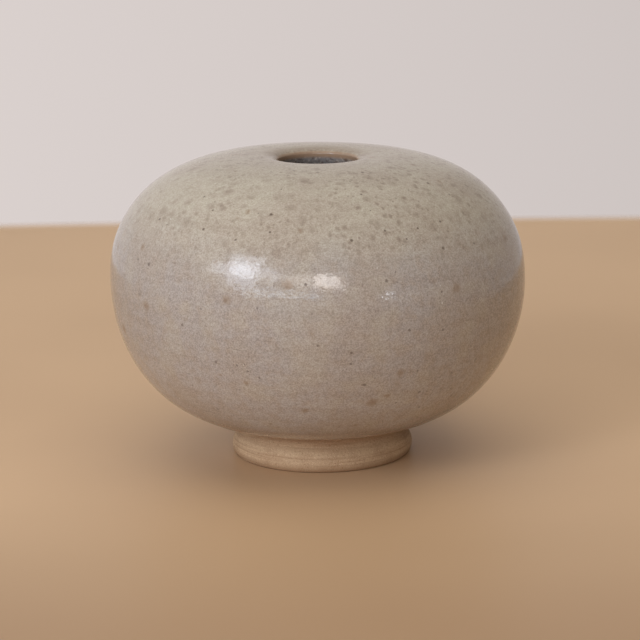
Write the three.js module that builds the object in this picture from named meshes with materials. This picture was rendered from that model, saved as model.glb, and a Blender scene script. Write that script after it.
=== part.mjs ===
// Stoneware globe vase: two thrown bowls joined at the belly, a turned foot ring and two coats of glaze.
// Millimetres, +Z up. The foot stands on z = 0 and the wheel's axis is Z.
import * as THREE from "three";

// Globe, measured on the finished outside
const BELLY_DIAMETER = 170;
const BELLY_HEIGHT = 72.5;
const HEIGHT = 124.5;

// Lip: a broad crest that rolls in and down to the edge of the mouth
const MOUTH_DIAMETER = 32.6;
const LIP_WIDTH = 7.7;
const LIP_DROP = 2.3;
const LIP_THICKNESS = 10;

// Walls and floor, finished sizes with the glaze on them
const BELLY_WALL = 5.5;
const FLOOR_THICKNESS = 9;

// Coats of glaze
const OUTER_GLAZE = 0.8;
const LINER_GLAZE = 0.6;
const GLAZE_ROLL = 1;
const BARE_BAND = 2;

// Tongue and groove of the seam at the belly
const TONGUE_WIDTH = 1.4;
const TONGUE_HEIGHT = 2.2;
const SEAM_CLEARANCE = 0.3;

// Foot ring: rounded tread, swelling face and a cove under the globe
const FOOT_HEIGHT = 16.2;
const FOOT_DIAMETER = 74.6;
const FOOT_WIDEST_HEIGHT = 3.8;
const NECK_INSET = 3.5;
const COVE_RADIUS = 2.6;
const COVE_SWEEP = THREE.MathUtils.degToRad(70);
const TREAD_WIDTH = 6;
const OUTER_EDGE_ROUND = 1.9;
const INNER_EDGE_ROUND = 1.9;
const INNER_EDGE_HEIGHT = 2.5;

// Spigot under the base, which the foot ring is luted round
const SPIGOT_HEIGHT = 5.2;
const SPIGOT_CLEARANCE = 0.3;

// Fullness of the curves: the share of the way from one end to the corner at which a handle sits
const LIP_FULLNESS = 0.56;
const CREST_FULLNESS = 0.71;
const SHOULDER_FULLNESS = 0.555;
const BELLY_FULLNESS = 0.51;
const UNDERSIDE_FULLNESS = 0.57;
const UNDERSIDE_SLOPE = THREE.MathUtils.degToRad(4.5);
const BOWL_FULLNESS = 0.48;
const FLOOR_FULLNESS = 0.89;
const FOOT_FULLNESS = 0.5;

// Facets
const TURN_SEGMENTS = 48;
const LIP_STEPS = 3;
const WALL_STEPS = 8;
const ROLL_STEPS = 4;
const FOOT_STEPS = 5;

// Points nearer than this are one point
const SAME_POINT = 1e-6;
const QUARTER_TURN = Math.PI / 2;

// Radii and heights that several pieces share
const mouthRadius = MOUTH_DIAMETER / 2;
const mouthHeight = HEIGHT - LIP_DROP;
const crestRadius = mouthRadius + LIP_WIDTH;
const bellyRadius = BELLY_DIAMETER / 2;
const footRadius = FOOT_DIAMETER / 2;
const treadOuterRadius = footRadius - OUTER_EDGE_ROUND;
const treadInnerRadius = treadOuterRadius - TREAD_WIDTH;
const recessRadius = treadInnerRadius - INNER_EDGE_ROUND;
const recessHeight = FOOT_HEIGHT - SPIGOT_HEIGHT;
const floorHeight = recessHeight + FLOOR_THICKNESS;
const neckRadius = footRadius - NECK_INSET;
const coveTopRadius = neckRadius + COVE_RADIUS * (1 - Math.cos(COVE_SWEEP));
const glazeEdgeRadius = coveTopRadius + BARE_BAND + GLAZE_ROLL;
const glazeEdgeHeight = FOOT_HEIGHT - OUTER_GLAZE;
const clayOuterRadius = bellyRadius - OUTER_GLAZE;
const clayInnerRadius = bellyRadius - BELLY_WALL + LINER_GLAZE;
const seamRadius = (clayOuterRadius + clayInnerRadius) / 2;

// A profile point: x is the distance from the axis and y the height above the table
function point(radius, height) {
  return new THREE.Vector2(radius, height);
}

// A quarter curve that leaves one end straight up or down and reaches the other end level
function quarter(upright, level, uprightFullness, levelFullness) {
  const corner = point(upright.x, level.y);
  return new THREE.CubicBezierCurve(
    upright,
    upright.clone().lerp(corner, uprightFullness),
    level.clone().lerp(corner, levelFullness),
    level,
  );
}

// A face of the upper half: round the lip from the mouth's edge to the crest, then down to the belly
function upperFace(edge, crest, belly) {
  const lip = quarter(edge, crest, LIP_FULLNESS, LIP_FULLNESS);
  const shoulder = quarter(belly, crest, SHOULDER_FULLNESS, CREST_FULLNESS);
  return joined(lip.getPoints(LIP_STEPS), shoulder.getPoints(WALL_STEPS).reverse());
}

// Outside of the upper half at a depth below the glaze's surface
function upperOutside(depth) {
  return upperFace(
    point(mouthRadius + depth, mouthHeight),
    point(crestRadius, HEIGHT - depth),
    point(bellyRadius - depth, BELLY_HEIGHT),
  );
}

// Inside of the upper half at a depth below the liner's surface
function upperInside(depth) {
  return upperFace(
    point(mouthRadius + depth, mouthHeight),
    point(crestRadius, HEIGHT - LIP_THICKNESS + depth),
    point(bellyRadius - BELLY_WALL + depth, BELLY_HEIGHT),
  );
}

// Outside of the lower half, from the belly to the edge of the glaze under the globe
function lowerOutside(depth) {
  const belly = point(bellyRadius - depth, BELLY_HEIGHT);
  const edge = point(glazeEdgeRadius, glazeEdgeHeight + depth);
  const reach = UNDERSIDE_FULLNESS * (belly.x - edge.x);
  const underside = new THREE.CubicBezierCurve(
    belly,
    point(belly.x, belly.y - BELLY_FULLNESS * (belly.y - edge.y)),
    point(edge.x + reach * Math.cos(UNDERSIDE_SLOPE), edge.y + reach * Math.sin(UNDERSIDE_SLOPE)),
    edge,
  );
  return underside.getPoints(WALL_STEPS);
}

// Inside of the lower half, from the belly to the middle of the floor
function lowerInside(depth) {
  const belly = point(bellyRadius - BELLY_WALL + depth, BELLY_HEIGHT);
  const floor = point(0, floorHeight - depth);
  return quarter(belly, floor, BOWL_FULLNESS, FLOOR_FULLNESS).getPoints(WALL_STEPS);
}

// Stretches of a profile end to end, with each shared end kept once
function joined(...stretches) {
  const all = stretches.flat();
  return all.filter((p, i) => i === 0 || p.distanceTo(all[i - 1]) > SAME_POINT);
}

// A square step round the seam, from the outer rim to the inner one
function seamStep(width, rise) {
  return [
    point(seamRadius + width / 2, BELLY_HEIGHT),
    point(seamRadius + width / 2, BELLY_HEIGHT + rise),
    point(seamRadius - width / 2, BELLY_HEIGHT + rise),
    point(seamRadius - width / 2, BELLY_HEIGHT),
  ];
}

// Points on an ellipse round a centre, from one angle to another
function arc(centre, radiusX, radiusY, from, to, steps) {
  return new THREE.EllipseCurve(centre.x, centre.y, radiusX, radiusY, from, to, to < from).getPoints(steps);
}

// Turns a profile round the axis. A profile that doesn't end on the axis is closed on itself.
function turned(name, profile, finish) {
  const onAxis = profile[0].x === 0 && profile.at(-1).x === 0;
  const loop = onAxis ? profile : [...profile, profile[0]];
  if (THREE.ShapeUtils.area(profile) < 0) {
    loop.reverse();
  }
  const geometry = new THREE.LatheGeometry(loop, TURN_SEGMENTS);
  geometry.rotateX(QUARTER_TURN);
  const mesh = new THREE.Mesh(geometry, new THREE.MeshStandardMaterial(finish));
  mesh.name = name;
  return mesh;
}

function lowerBowl() {
  const tongue = seamStep(TONGUE_WIDTH, TONGUE_HEIGHT).reverse();
  const spigotRadius = recessRadius - SPIGOT_CLEARANCE;
  const spigot = [
    point(spigotRadius, FOOT_HEIGHT),
    point(spigotRadius, recessHeight),
    point(0, recessHeight),
  ];
  const profile = joined(
    lowerInside(LINER_GLAZE).reverse(),
    tongue,
    lowerOutside(OUTER_GLAZE),
    spigot,
  );
  return turned("lower_bowl", profile, { color: 0xa98b6b, roughness: 0.9, metalness: 0 });
}

function upperBowl() {
  const groove = seamStep(TONGUE_WIDTH + 2 * SEAM_CLEARANCE, TONGUE_HEIGHT + SEAM_CLEARANCE);
  const profile = joined(
    upperOutside(OUTER_GLAZE),
    groove,
    upperInside(LINER_GLAZE).reverse(),
  );
  return turned("upper_bowl", profile, { color: 0xad8f6f, roughness: 0.9, metalness: 0 });
}

// Bare clay ring with a plain recess inside
function footRing() {
  const widest = point(footRadius, FOOT_WIDEST_HEIGHT);
  const neck = point(neckRadius, FOOT_HEIGHT - COVE_RADIUS);
  const rise = FOOT_FULLNESS * (neck.y - widest.y);
  const face = new THREE.CubicBezierCurve(
    widest,
    point(widest.x, widest.y + rise),
    point(neck.x, neck.y - rise),
    neck,
  );
  const outerEdge = arc(
    point(treadOuterRadius, widest.y), OUTER_EDGE_ROUND, widest.y, -QUARTER_TURN, 0, FOOT_STEPS,
  );
  const cove = arc(
    point(neck.x + COVE_RADIUS, neck.y), COVE_RADIUS, COVE_RADIUS,
    2 * QUARTER_TURN, 2 * QUARTER_TURN - COVE_SWEEP, FOOT_STEPS,
  );
  const top = [
    point(coveTopRadius, FOOT_HEIGHT),
    point(recessRadius, FOOT_HEIGHT),
  ];
  const innerEdge = arc(
    point(treadInnerRadius, INNER_EDGE_HEIGHT), INNER_EDGE_ROUND, INNER_EDGE_HEIGHT,
    2 * QUARTER_TURN, 3 * QUARTER_TURN, FOOT_STEPS,
  );
  const profile = joined(outerEdge, face.getPoints(FOOT_STEPS), cove, top, innerEdge);
  return turned("foot_ring", profile, { color: 0xb39371, roughness: 0.95, metalness: 0 });
}

// The coat over the outside, which ends under the globe in a rounded roll
function outerGlaze() {
  const half = OUTER_GLAZE / 2;
  const roll = arc(
    point(glazeEdgeRadius, glazeEdgeHeight + half), GLAZE_ROLL, half,
    3 * QUARTER_TURN, QUARTER_TURN, ROLL_STEPS,
  );
  const profile = joined(
    upperOutside(0),
    lowerOutside(0),
    roll,
    lowerOutside(OUTER_GLAZE).reverse(),
    upperOutside(OUTER_GLAZE).reverse(),
  );
  return turned("outer_glaze", profile, { color: 0xa99c8c, roughness: 0.32, metalness: 0 });
}

// The coat over the inside, which meets the outer coat at the edge of the mouth
function linerGlaze() {
  const profile = joined(
    lowerInside(LINER_GLAZE).reverse(),
    upperInside(LINER_GLAZE).reverse(),
    upperInside(0),
    lowerInside(0),
  );
  return turned("liner_glaze", profile, { color: 0x85807b, roughness: 0.3, metalness: 0 });
}

const vase = new THREE.Group();
vase.add(lowerBowl(), upperBowl(), footRing(), outerGlaze(), linerGlaze());

export default vase;
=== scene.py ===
"""Stoneware globe vase: two thrown bowls, a turned foot, and a speckled glaze outside and in.

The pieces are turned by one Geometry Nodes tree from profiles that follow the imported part.
Metres, +Z up. The foot stands on z = 0, and +X is to the right of the photograph.
"""

import math

import bmesh
import bpy
from mathutils import Matrix, Quaternion, Vector


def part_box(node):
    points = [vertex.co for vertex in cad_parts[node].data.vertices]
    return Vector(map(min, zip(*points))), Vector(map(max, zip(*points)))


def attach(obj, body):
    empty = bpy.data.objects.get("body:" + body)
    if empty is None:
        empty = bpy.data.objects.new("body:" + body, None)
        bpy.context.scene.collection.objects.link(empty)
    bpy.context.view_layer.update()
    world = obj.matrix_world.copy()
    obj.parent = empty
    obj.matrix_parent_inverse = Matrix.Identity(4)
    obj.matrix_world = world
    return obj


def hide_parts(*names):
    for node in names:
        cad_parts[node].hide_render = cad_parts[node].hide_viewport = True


bl_info = {
    "name": "Stoneware globe vase",
    "version": (1, 0, 0),
    "blender": (4, 5, 0),
    "location": "3D View > Sidebar > Globe vase",
    "description": "Builds a hand-thrown globe vase around its packed frame",
    "category": "Add Mesh",
}

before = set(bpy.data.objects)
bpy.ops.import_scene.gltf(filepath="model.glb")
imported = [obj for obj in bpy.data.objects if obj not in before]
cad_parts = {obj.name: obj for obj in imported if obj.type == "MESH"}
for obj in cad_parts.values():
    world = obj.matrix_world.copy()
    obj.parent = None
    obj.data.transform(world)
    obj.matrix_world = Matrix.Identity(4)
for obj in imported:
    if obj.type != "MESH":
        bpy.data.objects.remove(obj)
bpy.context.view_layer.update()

MM = 0.001

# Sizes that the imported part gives
OUTER_LOW, OUTER_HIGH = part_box("outer_glaze")
LINER_LOW, LINER_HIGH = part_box("liner_glaze")
FOOT_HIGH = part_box("foot_ring")[1]
BELLY_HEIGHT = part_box("upper_bowl")[0].z
RECESS_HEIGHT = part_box("lower_bowl")[0].z

# Fullness of the curves: the share of the way from one end to the corner at which a handle sits
LIP_FULLNESS = 0.56
CREST_FULLNESS = 0.735
SHOULDER_FULLNESS = 0.555
BELLY_FULLNESS = 0.51
UNDERSIDE_FULLNESS = 0.57
UNDERSIDE_SLOPE = math.radians(4.5)
BOWL_FULLNESS = 0.48
FLOOR_FULLNESS = 0.89
FOOT_FULLNESS = 0.5

# Steps along the profiles and round the wheel
LIP_STEPS = 22
WALL_STEPS = 104
ROLL_STEPS = 12
HIDDEN_LIP_STEPS = 8
HIDDEN_WALL_STEPS = 30
FOOT_FACE_STEPS = 70
FOOT_ROUND_STEPS = 14
SHOWN_SEGMENTS = 256
HIDDEN_SEGMENTS = 128

# Turns from straight out, anticlockwise: inwards is half a turn, and down three quarters
UPWARDS = math.pi / 2
INWARDS = math.pi
DOWNWARDS = 1.5 * math.pi


def paint(red, green, blue):
    """Linear colour of a paint given as it looks on a screen, from 0 to 255."""
    return [
        level / 12.92 if level <= 0.04045 else ((level + 0.055) / 1.055) ** 2.4
        for level in (red / 255, green / 255, blue / 255)
    ]


def number(name, description, default, **kind):
    """A number that a user may change."""
    return bpy.props.FloatProperty(name=name, description=description, default=default, **kind)


def length(name, description, default):
    """A size that a user may change, in metres."""
    return number(name, description, default, unit="LENGTH", precision=5)


def angle(name, description, degrees):
    """An angle that a user may change."""
    return number(name, description, math.radians(degrees), subtype="ANGLE")


def colour(name, description, red, green, blue):
    """A colour that a user may change."""
    return bpy.props.FloatVectorProperty(
        name=name,
        description=description,
        default=paint(red, green, blue),
        subtype="COLOR",
        size=3,
        min=0,
        max=1,
    )


class GlobeVaseShape(bpy.types.PropertyGroup):
    """Sizes of the pot, with the lean and unevenness of a pot made by hand."""

    belly_radius: length("Belly radius", "Widest radius of the glazed outside", OUTER_HIGH.x)
    belly_height: length("Belly height", "Height of the widest part, where the bowls join", BELLY_HEIGHT)
    height: length("Height", "Height of the crest of the lip", OUTER_HIGH.z)
    mouth_radius: length("Mouth radius", "Radius of the mouth's edge", 16.3 * MM)
    lip_width: length("Lip width", "From the mouth's edge out to the crest", 7.7 * MM)
    lip_drop: length("Lip drop", "From the crest down to the mouth's edge", 2.3 * MM)
    lip_thickness: length("Lip thickness", "Thickness of the lip under its crest", 10 * MM)
    outer_coat: length("Outer coat", "Thickness of the glaze outside", 0.8 * MM)
    liner_coat: length("Liner coat", "Thickness of the glaze inside", 0.6 * MM)
    clay_inner_radius: length("Clay inner radius", "Inner radius of the clay at the belly", LINER_HIGH.x)
    clay_floor: length("Clay floor", "Height of the clay floor inside", LINER_LOW.z)
    glaze_edge_radius: length("Glaze edge radius", "Where the outer glaze ends under the globe", 38.51 * MM)
    glaze_edge_height: length("Glaze edge height", "Lowest point of the outer glaze", OUTER_LOW.z)
    glaze_roll: length("Glaze roll", "How far the glaze's rounded end reaches inwards", 1 * MM)
    tongue_width: length("Tongue width", "Width of the tongue round the seam", 1.4 * MM)
    tongue_height: length("Tongue height", "Height of the tongue round the seam", 2.2 * MM)
    seam_clearance: length("Seam clearance", "Room round the tongue, filled with slip", 0.3 * MM)
    foot_radius: length("Foot radius", "Widest radius of the foot", FOOT_HIGH.x)
    foot_height: length("Foot height", "Height of the foot", FOOT_HIGH.z)
    foot_widest: length("Foot's widest height", "Height at which the foot is widest", 3.8 * MM)
    neck_inset: length("Neck inset", "How far the foot draws in under the globe", 4.1 * MM)
    cove_radius: length("Cove radius", "Radius of the cove where the foot meets the globe", 2.6 * MM)
    cove_sweep: angle("Cove sweep", "How far the cove turns", 70)
    tread_width: length("Tread width", "Width of the flat that the foot stands on", 6 * MM)
    edge_round: length("Edge round", "Width of the rounded edges of the tread", 1.9 * MM)
    inner_edge_height: length("Inner edge height", "Height of the rounded edge inside the foot", 2.5 * MM)
    recess_height: length("Recess height", "Height of the base over the tread", RECESS_HEIGHT)
    spigot_clearance: length("Spigot clearance", "Room between the spigot and the foot", 0.3 * MM)
    lean: angle("Lean", "How far the globe leans to the right", 0.5)
    foot_shift: length("Foot shift", "How far the foot stands to the right of the belly", 0.9 * MM)
    sway: length("Sway", "How far the shoulder sways to the left", 0.66 * MM)
    sway_rise: length("Sway rise", "From the belly up to the middle of the sway", 25 * MM)
    sway_reach: length("Sway reach", "From the middle of the sway to where it ends", 22 * MM)
    ring_depth: length("Ring depth", "Height of the throwing rings left outside", 0.04 * MM)
    inner_ring_depth: length("Inner ring depth", "Height of the throwing rings inside", 0.22 * MM)
    ring_spacing: length("Ring spacing", "From one throwing ring to the next", 5 * MM)
    turning_depth: length("Turning depth", "Depth of the turning tool's lines on the foot", 0.06 * MM)
    turning_spacing: length("Turning spacing", "From one turning line to the next", 0.9 * MM)
    dent_depth: length("Dent depth", "How far the hand pushed the wall in and out", 0.2 * MM)
    dent_size: length("Dent size", "Size of the hollows left by the hand", 40 * MM)
    edge_waver: length("Edge waver", "How far the glaze's lower edge wanders", 0.7 * MM)
    edge_slant: angle("Edge slant", "How far the glaze's lower edge drops to the left", 0.7)
    bead_width: length("Bead width", "Width of the bead at the glaze's lower edge", 3.2 * MM)
    bead_depth: length("Bead depth", "How far that bead hangs down", 0.7 * MM)


class GlobeVaseColours(bpy.types.PropertyGroup):
    """Colours of the glaze, the clay and the stage."""

    glaze_belly: colour("Glaze on the belly", "Warm grey with a little pink", 160, 153, 149)
    glaze_low: colour("Glaze low down", "Grey where the coat is thick", 171, 165, 161)
    glaze_shoulder: colour("Glaze on the shoulder", "Oatmeal, a little greener", 184, 176, 158)
    glaze_cloud: colour("Clouds in the glaze", "Where the coat is thinner", 157, 141, 126)
    glaze_grain: colour("Grain in the glaze", "Fine brown grain all over", 118, 98, 82)
    glaze_fleck: colour("Pale flecks", "Pale crystals between the grain", 196, 184, 171)
    white_speck: colour("White specks", "A few white grains", 226, 219, 208)
    # Also painted as shade on the lip's inward slope
    iron_blotch: colour("Iron blotches", "Soft spots where iron lies deep in the glaze", 126, 108, 93)
    iron_speck: colour("Iron specks", "Dark specks of iron", 78, 57, 43)
    rust: colour("Rust spots", "A few brown spots of iron", 136, 112, 88)
    glaze_break: colour("Break on the lip", "Brown where the coat runs thin on an edge", 150, 122, 98)
    liner: colour("Liner", "Glaze inside the pot", 130, 124, 122)
    clay: colour("Bare clay", "Fired clay of the foot", 184, 156, 124)
    # Also painted as shade low on the foot and towards the table's front
    clay_dark: colour("Dark clay", "Clay in the turning lines and low edges", 138, 105, 76)
    # Also painted along the glaze's lower rim, partly as a painted highlight
    clay_pale: colour("Pale sand", "Grains of sand in the clay", 206, 180, 150)
    # On the foot's top this is partly painted shade under the globe
    clay_flash: colour("Flashed clay", "Orange blush beside the glaze", 160, 104, 62)
    table: colour("Table", "Plain pale table top", 200, 166, 130)
    backdrop: colour("Backdrop", "Plain pale backdrop", 212, 203, 200)


class GlobeVaseStage(bpy.types.PropertyGroup):
    """Camera, table and light."""

    view_distance: length("View distance", "From the camera to the middle of the pot", 1.1)
    view_elevation: angle("View elevation", "How far the camera looks down", 12.607)
    view_roll: angle("View roll", "Tilt of the camera", -0.75)
    view_centre: length("View centre", "Height that the view distance is measured from", 62 * MM)
    aim_height: length("Aim height", "Height at the middle of the picture", 55.1 * MM)
    aim_side: length("Aim side", "How far right of the foot's axis the picture's middle lies", -0.3 * MM)
    focal_length: number("Focal length", "Lens of the camera, in millimetres", 150.4)
    table_reach: length("Table reach", "From the pot to each edge of the table", 0.52)
    table_fade: length("Table fade", "Width over which the table's edge goes soft", 0.03)
    side_falloff: number("Side falloff", "How much the backdrop darkens from left to right", 0.41)
    top_falloff: number("Top falloff", "How much the backdrop darkens upwards", 0.6)
    fill_level: number("Fill level", "Strength of the soft light from all sides", 0.2)


def math_method(operation, swapped=False):
    """A method that adds one Math node on a wire and another value."""

    def method(self, other):
        first, second = (other, self) if swapped else (self, other)
        return self.bench.maths(operation, first, second)

    return method


class Wire:
    """One output socket of a node tree, which plain sums turn into Math nodes."""

    def __init__(self, bench, socket):
        self.bench = bench
        self.socket = socket

    __add__ = math_method("ADD")
    __radd__ = math_method("ADD", swapped=True)
    __sub__ = math_method("SUBTRACT")
    __rsub__ = math_method("SUBTRACT", swapped=True)
    __mul__ = math_method("MULTIPLY")
    __rmul__ = math_method("MULTIPLY", swapped=True)
    __truediv__ = math_method("DIVIDE")
    __rtruediv__ = math_method("DIVIDE", swapped=True)
    __pow__ = math_method("POWER")
    largest = math_method("MAXIMUM")

    # 1 where this is below or above the other, and 0 elsewhere
    below = math_method("LESS_THAN")
    above = math_method("GREATER_THAN")

    def ramp(self, low, high):
        """0 up to low, 1 from high on, and a smooth rise between."""
        sockets = {"Value": self, "From Min": low, "From Max": high}
        return self.bench.out("ShaderNodeMapRange", "Result", {"interpolation_type": "SMOOTHSTEP"}, sockets)


class Bench:
    """Adds nodes to one tree."""

    def __init__(self, tree):
        self.tree = tree

    def node(self, kind, settings=None, sockets=None):
        """A node of a type, with its settings made first and then its sockets filled or linked."""
        made = self.tree.nodes.new(kind)
        for name, value in (settings or {}).items():
            setattr(made, name, value)
        for key, value in (sockets or {}).items():
            socket = self.find(made.inputs, key)
            if isinstance(value, Wire):
                self.tree.links.new(value.socket, socket)
            else:
                socket.default_value = value
        return made

    def out(self, kind, output, settings=None, sockets=None):
        """The named output of a new node."""
        made = self.node(kind, settings, sockets)
        return Wire(self, self.find(made.outputs, output))

    @staticmethod
    def find(sockets, key):
        """A socket by its place in the list, its identifier or its name."""
        if isinstance(key, int):
            return sockets[key]
        for socket in sockets:
            if socket.identifier == key:
                return socket
        return sockets[key]

    def maths(self, operation, *terms):
        """A Math node on one or two terms."""
        return self.out("ShaderNodeMath", "Value", {"operation": operation}, dict(enumerate(terms)))

    def vector(self, operation, *terms):
        """A Vector Math node on one or two vectors."""
        return self.out("ShaderNodeVectorMath", "Vector", {"operation": operation}, dict(enumerate(terms)))

    def scaled(self, vector, factor):
        """A vector times a number."""
        sockets = {"Vector": vector, "Scale": factor}
        return self.out("ShaderNodeVectorMath", "Vector", {"operation": "SCALE"}, sockets)

    def mix(self, factor, first, second):
        """One colour over another, by a factor from 0 to 1."""
        sockets = {"Factor_Float": factor, "A_Color": opaque(first), "B_Color": opaque(second)}
        return self.out("ShaderNodeMix", "Result_Color", {"data_type": "RGBA"}, sockets)

    def layered(self, tone, *layers):
        """A colour with others laid over it in turn, each with its cover from 0 to 1."""
        for cover, over in layers:
            tone = self.mix(cover, tone, over)
        return tone

    def between(self, factor, first, second):
        """A place on the way from one vector to another."""
        sockets = {"Factor_Float": factor, "A_Vector": first, "B_Vector": second}
        return self.out("ShaderNodeMix", "Result_Vector", {"data_type": "VECTOR"}, sockets)

    def split(self, vector):
        """The three parts of a vector."""
        parts = self.node("ShaderNodeSeparateXYZ", None, {"Vector": vector})
        return [Wire(self, output) for output in parts.outputs]

    def joined(self, x, y, z):
        """A vector from its three parts."""
        return self.out("ShaderNodeCombineXYZ", "Vector", None, {"X": x, "Y": y, "Z": z})

    def noise(self, vector, size, detail=2.0, roughness=0.5, output="Fac"):
        """Cloudy noise whose lumps have about the given size."""
        sockets = {"Vector": vector, "Scale": 1 / size, "Detail": detail, "Roughness": roughness}
        return self.out("ShaderNodeTexNoise", output, {"noise_dimensions": "3D"}, sockets)

    def swing(self, vector, size, detail):
        """Cloudy noise from about -1 to 1."""
        return self.noise(vector, size, detail) * 2 - 1

    def worked(self, step, shape, sockets=None, settings=None):
        """A geometry after one more step of a Geometry Nodes tree."""
        return self.out("GeometryNode" + step, "Geometry", settings, {"Geometry": shape, **(sockets or {})})


def opaque(value):
    """A colour with full alpha, or a wire as it is."""
    return value if isinstance(value, Wire) else (*value[:3], 1.0)


def from_axis(x, y):
    """Distance from the wheel's axis."""
    return (x * x + y * y) ** 0.5


# Numbers that the wheel takes, with the values that leave a piece plain
WHEEL_NUMBERS = {
    "Segments": HIDDEN_SEGMENTS,
    "Ring depth": 0.0,
    "Ring spacing": 5 * MM,
    "Calm radius": 0.0,
    "Dent depth": 0.0,
    "Dent size": 40 * MM,
    "Floor": -1.0,
    "Edge height": -1.0,
    "Edge waver": 0.0,
    "Edge shift": 0.0,
    "Edge radius": 0.0,
    "Edge slant": 0.0,
    "Sway": 0.0,
    "Sway height": 0.0,
    "Sway reach": 1.0,
    "Lean": 0.0,
    "Pivot height": 0.0,
    "Lean starts": -2.0,
    "Lean ends": -1.0,
    "Upright shift": 0.0,
    "Leaning shift": 0.0,
}
NUMBER_SOCKETS = {int: "NodeSocketInt", float: "NodeSocketFloat"}

# Points closer than this are one point, and corners sharper than a crease stay sharp
SAME_POINT = 1e-6
CREASE = math.radians(50)

# Spread of the calm at the lip, wander of the rings and the glaze's edge, and tilt of the sway
CALM_SPREAD = 1.4
RING_WANDER = 0.35
EDGE_WANDER = 0.6
EDGE_FADE = 5 * MM
SWAY_TILT = 0.13


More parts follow.
